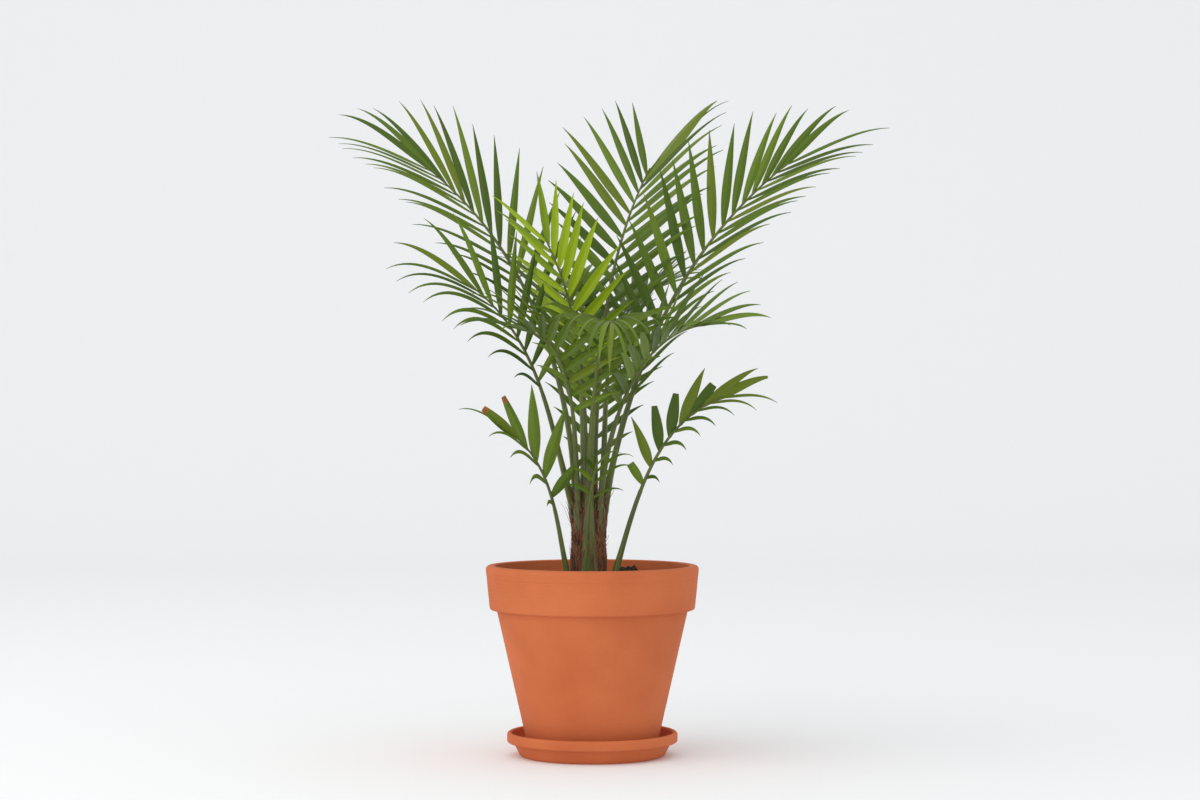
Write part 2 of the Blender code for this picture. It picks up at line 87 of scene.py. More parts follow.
# Pot
POT_HEIGHT = 0.2675
POT_RIM_RADIUS = 0.150
POT_MOUTH_RADIUS = 0.137
POT_BAND_BOTTOM = 0.2065
POT_BAND_BOTTOM_RADIUS = 0.1445
POT_SHOULDER_RADIUS = 0.135
POT_FOOT_RADIUS = 0.090
POT_WALL = 0.0125
POT_FLOOR = 0.013
POT_SHELF = 0.2185
POT_SHELF_DROP = 0.006
POT_MOUTH_TAPER = 0.001
POT_FOOT_BEVEL = 0.002
POT_BAND_ROUND = 0.003
POT_INNER_ROUND = 0.002
POT_DRAIN_RADIUS = 0.010
LIP_ROUND = 0.0055

# Potting mix
MIX_TOP = 0.238

# Trunk: a short stem wrapped in old leaf bases
TRUNK_X = -0.005
TRUNK_TOP = 0.345
TRUNK_RINGS = ((0.0, 0.0257), (0.16, 0.0240), (0.45, 0.0220), (0.76, 0.0240), (1.0, 0.0270))
STALK_CIRCLE = 0.021

# Fronds
HANDLE = 0.36
CURVE_STEPS = 80
TIP_RADIUS = 0.0012
FIRST_LEAFLET = 0.03
LAST_LEAFLET = 0.985
STAGGER = 0.35
SPACING_CLOSES = 0.25
LEAFLET_SINK = 0.0015
SWEEP_JITTER = 2.0
LIFT_JITTER = 2.0
LENGTH_JITTER = 0.03
RIB_TAPER_CURVE = 0.9
LEAFLETS_SHORTEN_CURVE = 1.6
END_LEAFLET_WIDTH = 0.75
SHEATH_SHARE = 0.45
SHEATH_CURVE = 1.5

# Finer shapes
TURNED_SEGMENTS = 128
LEAF_STEPS = 16
LEAF_ACROSS = 4
LEAF_THICKNESS = 0.0005
LEAF_FOLD = 0.30
LEAF_WIDEST = 0.36
LEAF_BASE_SHARE = 0.22
RIB_SIDES = 10
RIB_STEPS = 26
STALK_STEPS = 14
CRUMBS = 240

# Turned clay: (height, half width, depth) of each groove, and the wall's slight waver
BODY_GROOVES = ((0.060, 0.0012, 0.0003), (0.102, 0.0010, 0.0003), (0.150, 0.0012, 0.0003),
                (0.186, 0.0010, 0.0004))
BAND_GROOVES = ((0.2505, 0.0011, 0.0005), (0.2470, 0.0009, 0.0003), (0.2200, 0.0010, 0.0003))
WALL_WAVER = 0.00010
CLAY_SHARP = 40

# Loose mix: crumbs over the top, and one heap of clods by the back of the mouth
MIX_RINGS = 36
MIX_SEGMENTS = 96
MIX_LIFT = 0.0015
MIX_ROUGHNESS = 0.004
CLODS = 16
CLOD_HEAP = (0.052, 0.112)

# Stem and fibre
TRUNK_RELIEF_RINGS = 48
TRUNK_SIDES = 72
TRUNK_FIT = 0.95
TRUNK_TOP_NARROWS = 0.35
TRUNK_TOP_STARTS = 0.7
RIDGE_DEPTH = 0.0011
STEP_DEPTH = 0.0007
BASE_RINGS = 9
BASE_SIDES = 12
BASE_OVERLAP = 0.012
FRONT_BASE = (0.017, 0.0032)
HIDDEN_BASE = (0.007, 0.0012)
FIBRE_COVERS = 0.72
STEM_STRANDS = 900
TUFT_STRANDS = 420
STRAND_STEPS = 8
STRAND_THICKNESS = (0.0003, 0.0008)
STRAND_WANDER = 0.10
STRAND_TAPER = 0.6

# Leaflet looks
VEIN_SCALE = 250.0
VEIN_DARK = 0.72
VEIN_LIGHT = 1.34
TIP_FALL = 0.22
TWIST_JITTER = 9.0
# Chances of the leaf greens in order: mid, painted light, painted shade, yellowish.
TINT_CHANCES = ((0, 0.46), (1, 0.22), (2, 0.22), (3, 0.10))
CUT_TINT = 4
CUT_DEPTH = 0.009
# Cut leaflets, as (frond, row sign, place in row): the share of the length that is left
BROWNED = {("low_left", -1, 3): 0.80, ("low_left", -1, 4): 0.72}
BLUNT = {("low_right", 1, 0): 0.55, ("low_right", 1, 2): 0.78, ("low_right", 1, 3): 0.80,
         ("low_right", 1, 5): 0.62, ("low_right", 1, 7): 0.88}
# Leaflets and rows that are wider or narrower than their frond's width, and one that bows
WIDTHS = {("upper_centre", -1, 12): 2.3}
ROW_WIDTHS = {("low_right", -1): 0.5, ("low_right", 1): 1.25,
              ("low_left", -1): 1.3, ("low_left", 1): 0.6,
              ("upper_left", -1): 0.8, ("upper_left", 1): 0.5,
              ("middle_left", -1): 0.85, ("middle_left", 1): 0.6,
              ("young", 1): 1.1, ("young", -1): 1.15,
              ("front_small", 1): 0.75, ("upper_right", -1): 0.7}
BENDS = {("upper_centre", -1, 12): 0.2}

# Rib and stalk
RIB_END = 0.997
RIB_FIT = (0.95, 0.85)
STALK_SIDES = 14
STALK_FOOT = (1.45, 0.85)

# Studio
SWEEP_HALF_WIDTH = 7.0
SWEEP_FRONT = -7.0
SWEEP_BEND_AT = 4.4
SWEEP_BEND = 1.8
SWEEP_TOP = 7.0
SWEEP_STEPS = 24

# Camera, placed from the ellipses of the pot's rim and the saucer
CAMERA_AT = (0.0108, -3.85, 0.50)
CAMERA_LENS = 82.0
SENSOR_WIDTH = 36.0


@dataclass
class Row:
    """One row of leaflets. Pairs of values are for the blade's base and its tip."""
    sweep: tuple
    lift: tuple
    leaf: tuple
    droop: tuple
    peak: float = 0.45
    twist: float = 0.0


@dataclass
class Frond:
    """A frond's curve, the roll of its blade and its two rows of leaflets."""
    name: str
    foot: tuple
    tip: tuple
    leave: tuple
    arrive: tuple
    facing: float
    roll: float
    first: float
    pairs: int
    width: float
    close: float
    stalk: float
    plus: Row
    minus: Row
    sheath: tuple = ()


def on_trunk(azimuth, circle=STALK_CIRCLE):
    """A foot on the trunk's top, on the circle of stalks."""
    turn = radians(azimuth)
    return (TRUNK_X + circle * cos(turn), circle * sin(turn), TRUNK_TOP + GAP)


def by_trunk(x, y):
    """A foot on the potting mix, beside the trunk."""
    return (TRUNK_X + x, y, MIX_TOP + GAP)


FRONDS = (
    Frond("upper_left", on_trunk(142), (-0.239, 0.050, 0.834), (165, 87), (170, 38), 175, -60,
          0.40, 15, 0.0145, 1.2, 0.0050,
          Row((48, 24), (28, 28), (0.100, 0.165, 0.165), (0.35, 0.35)),
          Row((54, 0), (30, 30), (0.120, 0.165, 0.155), (0.0, 0.45))),
    Frond("upper_right", on_trunk(2), (0.281, 0.040, 0.839), (5, 80), (5, 38), 5, 60,
          0.25, 18, 0.0145, 2.5, 0.0052,
          Row((50, 3), (30, 30), (0.100, 0.155, 0.130), (0.05, 0.30)),
          Row((39, 24), (33, 24), (0.090, 0.150, 0.155), (0.30, 0.30))),
    Frond("upper_centre", on_trunk(72), (0.084, 0.140, 0.839), (80, 84), (50, 52), 70, 0,
          0.42, 14, 0.0145, 2.5, 0.0050,
          Row((58, 28), (22, 22), (0.070, 0.165, 0.120), (0.05, 0.05), 0.75),
          Row((58, 18), (22, 22), (0.110, 0.170, 0.165), (0.15, 0.40))),
    Frond("middle_left", on_trunk(184), (-0.166, -0.050, 0.657), (185, 74), (190, 38), 187, -60,
          0.48, 9, 0.0135, 2.5, 0.0048,
          Row((42, 20), (30, 30), (0.080, 0.165, 0.160), (1.00, 0.70)),
          Row((48, 0), (30, 30), (0.080, 0.140, 0.140), (0.05, 0.50))),
    Frond("low_right", by_trunk(0.0315, -0.0110), (0.180, -0.050, 0.504), (-10, 73), (-8, 22), -8, 60,
          0.44, 8, 0.0135, 1.0, 0.0046,
          Row((55, 0), (30, 30), (0.070, 0.085, 0.100), (0.05, 0.45)),
          Row((55, 20), (20, 20), (0.030, 0.055, 0.090), (1.50, 0.70)), (0.0065, 0.0045)),
    Frond("low_left", by_trunk(-0.0258, -0.0212), (-0.107, -0.060, 0.450), (185, 76), (200, 40),
          197, -55, 0.48, 5, 0.0145, 1.0, 0.0044,
          Row((60, 10), (28, 28), (0.040, 0.085, 0.120), (1.20, 0.50)),
          Row((60, 2), (30, 30), (0.070, 0.110, 0.090), (0.10, 0.10)), (0.0065, 0.0042)),
    Frond("young", (-0.006, 0.0, TRUNK_TOP + GAP), (-0.065, -0.090, 0.723), (-160, 87), (-160, 62),
          -140, 25, 0.50, 9, 0.0135, 1.5, 0.0042,
          Row((55, 15), (30, 30), (0.090, 0.120, 0.100), (0.05, 0.05)),
          Row((65, 40), (30, 30), (0.090, 0.120, 0.110), (0.05, 0.05))),
    Frond("front_arching", on_trunk(-88), (0.025, -0.270, 0.601), (-90, 86), (-84, -12), -87, 0,
          0.36, 12, 0.0135, 1.2, 0.0056,
          Row((62, 5), (28, -8), (0.090, 0.140, 0.100), (0.40, 3.00), 0.45, 25),
          Row((62, 10), (28, -8), (0.090, 0.140, 0.110), (0.40, 3.00), 0.45, 25)),
    Frond("front_right", on_trunk(-44), (0.153, -0.140, 0.602), (-45, 84), (-35, 5), -38, 25,
          0.40, 12, 0.0135, 1.5, 0.0048,
          Row((55, 5), (30, 30), (0.100, 0.120, 0.110), (0.10, 0.50)),
          Row((55, 20), (20, 20), (0.090, 0.120, 0.100), (0.40, 0.40))),
    Frond("front_left", on_trunk(-132), (-0.094, -0.170, 0.594), (-130, 84), (-135, 5), -132, -10,
          0.42, 10, 0.0125, 1.5, 0.0046,
          Row((58, 20), (25, 20), (0.090, 0.120, 0.090), (0.20, 0.80)),
          Row((58, 20), (30, 30), (0.090, 0.130, 0.100), (0.20, 0.80))),
    Frond("front_small", by_trunk(-0.0025, -0.0325), (0.007, -0.120, 0.415), (-88, 88), (-80, 30),
          -82, 0, 0.60, 4, 0.009, 1.0, 0.0038,
          Row((60, 20), (20, 20), (0.050, 0.070, 0.060), (1.00, 1.00)),
          Row((60, 20), (20, 20), (0.040, 0.045, 0.040), (1.00, 1.00)), (0.0110, 0.0052)),
    Frond("back_left", on_trunk(107), (-0.056, 0.270, 0.673), (107, 84), (108, 12), 107, 0,
          0.38, 13, 0.0145, 1.5, 0.0050,
          Row((58, 20), (28, 20), (0.090, 0.150, 0.120), (0.10, 0.60)),
          Row((58, 20), (28, 20), (0.090, 0.150, 0.120), (0.10, 0.60))),
    Frond("back_right", on_trunk(37), (0.089, 0.250, 0.665), (40, 83), (52, 14), 52, 0,
          0.38, 13, 0.0145, 1.5, 0.0050,
          Row((58, 20), (28, 20), (0.090, 0.150, 0.120), (0.10, 0.60)),
          Row((58, 20), (28, 20), (0.090, 0.140, 0.110), (0.10, 0.60))),
    Frond("back_low", by_trunk(0.001, 0.0320), (0.015, 0.240, 0.542), (86, 82), (88, 0), 87, 0,
          0.42, 10, 0.0135, 1.5, 0.0046,
          Row((58, 20), (25, 15), (0.060, 0.120, 0.100), (0.20, 0.80)),
          Row((58, 20), (25, 15), (0.060, 0.120, 0.100), (0.20, 0.80)), (0.0080, 0.0046)),
)


# Materials

def shader_group(name, inputs, outputs):
    """An empty shader node group with named float, colour or vector sockets."""
    group = bpy.data.node_groups.new(name, "ShaderNodeTree")
    for label, kind, value in inputs:
        socket = group.interface.new_socket(name=label, in_out="INPUT", socket_type="NodeSocket" + kind)
        socket.default_value = value
    for label, kind in outputs:
        group.interface.new_socket(name=label, in_out="OUTPUT", socket_type="NodeSocket" + kind)
    entry = group.nodes.new("NodeGroupInput")
    leaving = group.nodes.new("NodeGroupOutput")
    return group, entry, leaving


def drift_group():
    """Slow drift of tone with fine speckle over it, read from Object coordinates."""
    group, entry, leaving = shader_group(
        "tone drift",
        [("Patch Scale", "Float", 30.0), ("Speckle Scale", "Float", 600.0), ("Speckle Share", "Float", 0.3),
         ("Stretch", "Vector", (1.0, 1.0, 1.0))],
        [("Tone", "Float"), ("Speckle", "Float")])
    nodes, links = group.nodes, group.links
    place = nodes.new("ShaderNodeTexCoord")
    stretch = nodes.new("ShaderNodeVectorMath")
    stretch.operation = "MULTIPLY"
    patch = nodes.new("ShaderNodeTexNoise")
    patch.inputs["Detail"].default_value = 4.0
    speckle = nodes.new("ShaderNodeTexNoise")
    speckle.inputs["Detail"].default_value = 2.0
    blend = nodes.new("ShaderNodeMix")
    links.new(place.outputs["Object"], stretch.inputs[0])
    links.new(entry.outputs["Stretch"], stretch.inputs[1])
    links.new(stretch.outputs["Vector"], patch.inputs["Vector"])
    links.new(stretch.outputs["Vector"], speckle.inputs["Vector"])
    links.new(entry.outputs["Patch Scale"], patch.inputs["Scale"])
    links.new(entry.outputs["Speckle Scale"], speckle.inputs["Scale"])
    links.new(entry.outputs["Speckle Share"], blend.inputs["Factor"])
    links.new(patch.outputs["Fac"], blend.inputs["A"])
    links.new(speckle.outputs["Fac"], blend.inputs["B"])
    links.new(blend.outputs["Result"], leaving.inputs["Tone"])
    links.new(speckle.outputs["Fac"], leaving.inputs["Speckle"])
    return group


DRIFT = drift_group()


def finish(name, dark, light, roughness, patch=30.0, speckle=600.0, share=0.3, bump=0.0002,
           stretch=(1.0, 1.0, 1.0), spread=(0.35, 0.65), specular=0.5):
    """A Principled finish that drifts between two colours, with a speckled relief."""
    made = bpy.data.materials.new(name)
    made.use_nodes = True
    nodes, links = made.node_tree.nodes, made.node_tree.links
    shader = nodes["Principled BSDF"]
    shader.inputs["Roughness"].default_value = roughness
    shader.inputs["Specular IOR Level"].default_value = specular
    drift = nodes.new("ShaderNodeGroup")
    drift.node_tree = DRIFT
    drift.inputs["Patch Scale"].default_value = patch
    drift.inputs["Speckle Scale"].default_value = speckle
    drift.inputs["Speckle Share"].default_value = share
    drift.inputs["Stretch"].default_value = stretch
    ramp = nodes.new("ShaderNodeValToRGB")
    ramp.color_ramp.elements[0].position = spread[0]
    ramp.color_ramp.elements[0].color = (*dark, 1.0)
    ramp.color_ramp.elements[1].position = spread[1]
    ramp.color_ramp.elements[1].color = (*light, 1.0)
    relief = nodes.new("ShaderNodeBump")
    relief.inputs["Distance"].default_value = bump
    links.new(drift.outputs["Tone"], ramp.inputs["Fac"])
    links.new(ramp.outputs["Color"], shader.inputs["Base Color"])
    links.new(drift.outputs["Speckle"], relief.inputs["Height"])
    links.new(relief.outputs["Normal"], shader.inputs["Normal"])
    return made


def leaf_finish(name, colour, roughness=0.42):
    """Satin leaf tissue in one green, with fine veins of it running to the tip."""
    made = bpy.data.materials.new(name)
    made.use_nodes = True
    nodes, links = made.node_tree.nodes, made.node_tree.links
    shader = nodes["Principled BSDF"]
    shader.inputs["Roughness"].default_value = roughness
    shader.inputs["Specular IOR Level"].default_value = 0.28
    blade = nodes.new("ShaderNodeUVMap")
    blade.uv_map = "blade"
    veins = nodes.new("ShaderNodeTexWave")
    veins.bands_direction = "Y"
    veins.inputs["Scale"].default_value = VEIN_SCALE
    relief = nodes.new("ShaderNodeBump")
    relief.inputs["Strength"].default_value = 0.35
    relief.inputs["Distance"].default_value = 0.0002
    streaks = nodes.new("ShaderNodeMix")
    streaks.data_type = "RGBA"
    streaks.inputs["A"].default_value = (*(part * VEIN_DARK for part in colour), 1.0)
    streaks.inputs["B"].default_value = (*(part * VEIN_LIGHT for part in colour), 1.0)
    links.new(veins.outputs["Fac"], streaks.inputs["Factor"])
    links.new(streaks.outputs["Result"], shader.inputs["Base Color"])
    links.new(blade.outputs["UV"], veins.inputs["Vector"])
    links.new(veins.outputs["Fac"], relief.inputs["Height"])
    links.new(relief.outputs["Normal"], shader.inputs["Normal"])
    return made


TERRACOTTA = finish("terracotta", (0.52, 0.120, 0.038), (0.66, 0.182, 0.064), 0.82, 9.0, 900.0, 0.25,
                    0.0003, spread=(0.30, 0.72), specular=0.3)
MIX = finish("potting mix", (0.012, 0.008, 0.005), (0.060, 0.038, 0.022), 0.95, 160.0, 900.0, 0.5, 0.002)
FIBRE = finish("leaf base fibre", (0.085, 0.036, 0.016), (0.36, 0.165, 0.080), 0.85, 110.0, 500.0, 0.45,
               0.0008, (1.0, 1.0, 0.14), (0.36, 0.66))
STRAND_RED = finish("reddish fibre strands", (0.20, 0.070, 0.028), (0.42, 0.19, 0.085), 0.8, 60.0)
STRAND_DARK = finish("dark fibre strands", (0.035, 0.017, 0.010), (0.14, 0.066, 0.034), 0.85, 60.0)
STALK = finish("stalk green", (0.050, 0.070, 0.008), (0.135, 0.165, 0.024), 0.45, 22.0, 380.0, 0.35,
               0.0002, (1.0, 1.0, 0.16), (0.34, 0.66))
SHEATH = finish("leaf base green", (0.045, 0.055, 0.010), (0.150, 0.155, 0.040), 0.5, 60.0, 420.0, 0.4,
                0.0003, (1.0, 1.0, 0.10), (0.32, 0.66))
LEAF_MID = leaf_finish("leaf green", (0.085, 0.146, 0.006))
# The light and dark greens are lit and shaded copies of the leaf green: painted light and painted shade.
LEAF_PAINTED_LIT = leaf_finish("light leaf green", (0.120, 0.190, 0.010))
LEAF_PAINTED_SHADE = leaf_finish("dark leaf green", (0.056, 0.104, 0.004))
LEAF_WARM = leaf_finish("yellowish leaf green", (0.125, 0.175, 0.007))
YOUNG = leaf_finish("young leaf green", (0.290, 0.410, 0.004))
# A darker copy of the young green, used as painted shade on the young frond.
YOUNG_PAINTED_SHADE = leaf_finish("deep young leaf green", (0.180, 0.280, 0.004))
CUT_EDGE = leaf_finish("dried cut edge", (0.330, 0.120, 0.030), 0.7)


def arc(centre_r, centre_z, radius, start, end, steps):
    """Profile points along an arc, its angles in degrees from the outward axis."""
    points = []
    for i in range(steps + 1):
        turn = radians(start + (end - start) * i / steps)
        points.append((centre_r + radius * cos(turn), centre_z + radius * sin(turn)))
    return points


def pot_body_radius(height):
    """The outer radius of the pot's tapering body."""
    foot = SAUCER_FLOOR + GAP
    share = (height - foot) / (POT_BAND_BOTTOM - foot)
    return POT_FOOT_RADIUS + (POT_SHOULDER_RADIUS - POT_FOOT_RADIUS) * share


def ring_frame(centre, across, face):
    """A matrix that puts a ring at a point, wide along one axis and thin along the other."""
    along = across.cross(face)
    frame = Matrix((across, face, along)).transposed().to_4x4()
    frame.translation = centre
    return frame


def add_limb(bm, rings, sides):
    """Bridge rings, each a (frame, half width, half thickness), into a closed limb."""
    loops = []
    for frame, across, deep in rings:
        scale = Matrix.Diagonal((across, deep, 1.0, 1.0))
        made = bmesh.ops.create_circle(bm, segments=sides, radius=1.0, matrix=frame @ scale)
        loops.append(made["verts"])
    for lower, upper in zip(loops, loops[1:]):
        edges = set()
        for loop in (lower, upper):
            inside = set(loop)
            for vert in loop:
                edges.update(e for e in vert.link_edges if e.other_vert(vert) in inside)
        bmesh.ops.bridge_loops(bm, edges=list(edges))
    bmesh.ops.contextual_create(bm, geom=loops[0])
    bmesh.ops.contextual_create(bm, geom=loops[-1])
    return bm


def mix(start, end, share):
    """The value a share of the way from start to end."""
    return start + (end - start) * share


def aim(direction):
    """A unit vector from an (azimuth, elevation) pair in degrees."""
    azimuth, elevation = (radians(angle) for angle in direction)
    return Vector((cos(elevation) * cos(azimuth), cos(elevation) * sin(azimuth), sin(elevation)))


class Rib:
    """A frond's curve from foot to tip, read by share of its length."""

    def __init__(self, frond):
        foot, tip = Vector(frond.foot), Vector(frond.tip)
        reach = (tip - foot).length * HANDLE
        self.points = interpolate_bezier(foot, foot + aim(frond.leave) * reach,
                                         tip - aim(frond.arrive) * reach, tip, CURVE_STEPS + 1)
        self.marks = [0.0]
        for start, end in zip(self.points, self.points[1:]):
            self.marks.append(self.marks[-1] + (end - start).length)
        self.length = self.marks[-1]
        self.frond = frond

    def point(self, share):
        """The point at a share of the length."""
        wanted = min(max(share, 0.0), 1.0) * self.length
        for i in range(CURVE_STEPS):
            if self.marks[i + 1] >= wanted:
                break
        part = (wanted - self.marks[i]) / (self.marks[i + 1] - self.marks[i])
        return self.points[i].lerp(self.points[i + 1], part)

    def frame(self, share):
        """The curve's direction, the blade's side and its upper face there."""
        low, high = max(share - 0.01, 0.0), min(share + 0.01, 1.0)
        along = (self.point(high) - self.point(low)).normalized()
        turn = radians(self.frond.facing)
        side = Vector((-sin(turn), cos(turn), 0.0))
        side = (side - along * side.dot(along)).normalized()
        face = along.cross(side)
        rolled = Matrix.Rotation(radians(self.frond.roll), 3, along)
        return along, rolled @ side, rolled @ face

    def radius(self, share):
        """The half thickness of stalk and rib."""
        return mix(self.frond.stalk, TIP_RADIUS, share ** RIB_TAPER_CURVE)


def leaf_length(row, share):
    """The leaflet's length: it rises to the row's longest, then falls to its last."""
    first, longest, last = row.leaf
    if share < row.peak:
        return mix(first, longest, sin(share / row.peak * pi / 2))
    return mix(longest, last, ((share - row.peak) / (1 - row.peak)) ** LEAFLETS_SHORTEN_CURVE)


def leaflets(frond, rib):
    """Yield each leaflet's root, row sign, length and the angles of its direction."""
    dice = random.Random(frond.name)
    for sign, row in ((1, frond.plus), (-1, frond.minus)):
        late = 0.0 if sign > 0 else STAGGER
        for i in range(frond.pairs):
            share = min((i + late) / (frond.pairs - 1 + STAGGER), 1.0)
            place = share * (1 + SPACING_CLOSES - SPACING_CLOSES * share)
            place = mix(frond.first + FIRST_LEAFLET, LAST_LEAFLET, place)
            sweep = mix(*row.sweep, share ** frond.close) + dice.gauss(0, SWEEP_JITTER)
            lift = mix(*row.lift, share) + dice.gauss(0, LIFT_JITTER)
            length = leaf_length(row, share) * (1 + dice.gauss(0, LENGTH_JITTER))
            droop = mix(*row.droop, share ** 3)
            width = frond.width * mix(END_LEAFLET_WIDTH, 1.0, sin(pi * min(share * 1.2, 1.0)))
            yield place, sign, row, sweep, lift, length, droop, width


# Shared making

def settle(name, bm, finishes, nodes, sharp=35):
    """Turn a bmesh into a finished piece that rides on the root and stands for its nodes."""
    bm.normal_update()
    mesh = bpy.data.meshes.new(name)
    bm.to_mesh(mesh)
    bm.free()
    for made in finishes:
        mesh.materials.append(made)
    mesh.shade_smooth()
    mesh.set_sharp_from_angle(angle=radians(sharp))
    piece = bpy.data.objects.new(name, mesh)
    bpy.context.scene.collection.objects.link(piece)
    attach(piece, "root")
    if nodes:
        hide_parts(*nodes)
    return piece


def turned(profile, closed, segments=TURNED_SEGMENTS):
    """Spin a profile of (radius, height) points about the Z axis."""
    bm = bmesh.new()
    verts = [bm.verts.new((radius, 0.0, height)) for radius, height in profile]
    pairs = list(zip(verts, verts[1:]))
    if closed:
        pairs.append((verts[-1], verts[0]))
    edges = [bm.edges.new(pair) for pair in pairs]
    bmesh.ops.spin(bm, geom=verts + edges, cent=(0, 0, 0), axis=(0, 0, 1),
                   angle=2 * pi, steps=segments, use_merge=True)
    bmesh.ops.remove_doubles(bm, verts=bm.verts, dist=0.00001)
    bmesh.ops.recalc_face_normals(bm, faces=bm.faces)
    return bm


# Terracotta

def thrown_wall(low, high, radius_at, grooves, steps):
    """Profile points up a wall with the shallow rings that turning leaves."""
    points = []
    for i in range(steps + 1):
        height = mix(low, high, i / steps)
        ring = sum(depth * max(0.0, 1 - abs(height - at) / wide) for at, wide, depth in grooves)
        wave = WALL_WAVER * sin(height * 1450.0) * sin(height * 310.0)
        points.append((radius_at(height) - ring + wave, height))
    return points


def band_radius(height):
    """The outer radius of the pot's rim band."""
    share = (height - POT_BAND_BOTTOM) / (POT_HEIGHT - LIP_ROUND - POT_BAND_BOTTOM)
    return mix(POT_BAND_BOTTOM_RADIUS, POT_RIM_RADIUS, min(share, 1.0))


def make_pot():
    """The pot, with turning rings on its body and a double groove under its lip."""
    foot = SAUCER_FLOOR + GAP
    floor = foot + POT_FLOOR
    bevel = POT_FOOT_BEVEL
    waist = POT_SHELF - POT_SHELF_DROP
    lip_low = POT_HEIGHT - LIP_ROUND
    profile = [(POT_DRAIN_RADIUS, foot), (POT_FOOT_RADIUS - bevel, foot)]
    profile += thrown_wall(foot + bevel, POT_BAND_BOTTOM - bevel, pot_body_radius, BODY_GROOVES, 90)
    profile += arc(POT_BAND_BOTTOM_RADIUS - POT_BAND_ROUND, POT_BAND_BOTTOM + bevel,
                   POT_BAND_ROUND, -80, 0, 5)
    profile += thrown_wall(POT_BAND_BOTTOM + 2 * bevel, lip_low - bevel, band_radius, BAND_GROOVES, 56)
    profile += arc(POT_RIM_RADIUS - LIP_ROUND, lip_low, LIP_ROUND, 0, 90, 8)
    profile += arc(POT_MOUTH_RADIUS + POT_INNER_ROUND, POT_HEIGHT - POT_INNER_ROUND,
                   POT_INNER_ROUND, 90, 180, 5)
    profile += [(POT_MOUTH_RADIUS - POT_MOUTH_TAPER, POT_SHELF)]
    profile += [(pot_body_radius(POT_SHELF) - POT_WALL, waist)]
    profile += [(pot_body_radius(floor) - POT_WALL, floor), (POT_DRAIN_RADIUS, floor)]
    settle("turned_pot", turned(profile, True), [TERRACOTTA], ["pot"], CLAY_SHARP)


def make_saucer():
    """The saucer under its rolled rim."""
    rim_round = (SAUCER_RIM_RADIUS - SAUCER_RIM_INNER_RADIUS) / 2
    rim_middle = SAUCER_RIM_RADIUS - rim_round
    band_bottom = SAUCER_HEIGHT - SAUCER_BAND_DEPTH
    edge = SAUCER_EDGE_ROUND
    foot_round = SAUCER_FOOT_ROUND
    profile = [(0.0, 0.0), (SAUCER_FOOT_RADIUS - edge, 0.0)]
    profile += arc(SAUCER_FOOT_RADIUS - edge, foot_round, foot_round, -90, -20, 6)[1:]
    profile += [(SAUCER_WALL_RADIUS, band_bottom - SAUCER_BAND_TUCK)]
    profile += arc(SAUCER_RIM_RADIUS - edge, band_bottom + edge, edge, -90, 0, 5)
    profile += arc(rim_middle, SAUCER_HEIGHT - rim_round, rim_round, 0, 180, 12)
    profile += [(SAUCER_FLOOR_RADIUS + edge, SAUCER_FLOOR + edge)]
    profile += [(SAUCER_FLOOR_RADIUS, SAUCER_FLOOR), (0.0, SAUCER_FLOOR)]
    settle("turned_saucer", turned(profile, False), [TERRACOTTA], ["saucer"], CLAY_SHARP)


# Potting mix

def make_mix_surface():
    """The mix's crumbly top, with loose crumbs and a few larger clods."""
    mouth = POT_MOUTH_RADIUS - POT_MOUTH_TAPER - 2 * GAP
    profile = [(mouth * i / MIX_RINGS, MIX_TOP) for i in range(MIX_RINGS + 1)]
    bm = turned(profile, False, MIX_SEGMENTS)
    if bm.faces[0].normal.z < 0:
        bmesh.ops.reverse_faces(bm, faces=bm.faces)
    for vert in bm.verts:
        away = vert.co.to_2d().length
        rough = noise.fractal(vert.co * 60.0, 0.6, 2.2, 4)
        edge = min(1.0, max(0.0, (mouth - away) / 0.01))
        vert.co.z = MIX_TOP + (MIX_LIFT + MIX_ROUGHNESS * rough) * edge
    settle("mix_surface", bm, [MIX], [], 60)
    dice = random.Random("crumbs")
    crumbs = bmesh.new()
    for i in range(CRUMBS):
        turn = dice.uniform(0, 2 * pi)
        away = mouth * dice.uniform(0.25, 0.97)
        size = dice.uniform(0.0012, 0.0042)
        spot = Vector((away * cos(turn), away * sin(turn), MIX_TOP + size * 0.6))
        add_clod(crumbs, spot, size, dice)
    for i in range(CLODS):
        spot = Vector((CLOD_HEAP[0] + dice.uniform(-0.014, 0.014),
                       CLOD_HEAP[1] + dice.uniform(-0.012, 0.012),
                       MIX_TOP + dice.uniform(0.002, 0.014)))
        add_clod(crumbs, spot, dice.uniform(0.005, 0.009), dice)
    settle("mix_crumbs", crumbs, [MIX], [], 60)
    frame["nodes"]["potting_mix"].data.materials.clear()
    frame["nodes"]["potting_mix"].data.materials.append(MIX)


def add_clod(bm, spot, size, dice):
    """One irregular clod of mix."""
    made = bmesh.ops.create_icosphere(bm, subdivisions=1, radius=size,
                                      matrix=Matrix.Translation(spot))
    for vert in made["verts"]:
        vert.co += (vert.co - spot) * dice.uniform(-0.35, 0.45)


# Leaflets

def leaf_blank():
    """A plate along X, one long, two wide and one thick, that every leaflet is bent from."""
    bm = bmesh.new()
    bmesh.ops.create_grid(bm, x_segments=LEAF_STEPS, y_segments=LEAF_ACROSS, size=1.0)
    blade = bm.loops.layers.uv.new("blade")
    bmesh.ops.solidify(bm, geom=bm.faces[:], thickness=-1.0)
    low = min(vert.co.z for vert in bm.verts)
    for vert in bm.verts:
        vert.co = Vector(((vert.co.x + 1) / 2, vert.co.y, vert.co.z - low))
    for face in bm.faces:
        for loop in face.loops:
            loop[blade].uv = (loop.vert.co.x, loop.vert.co.y * 0.01)
    bmesh.ops.recalc_face_normals(bm, faces=bm.faces)
    return blank_mesh("leaf blank", bm)


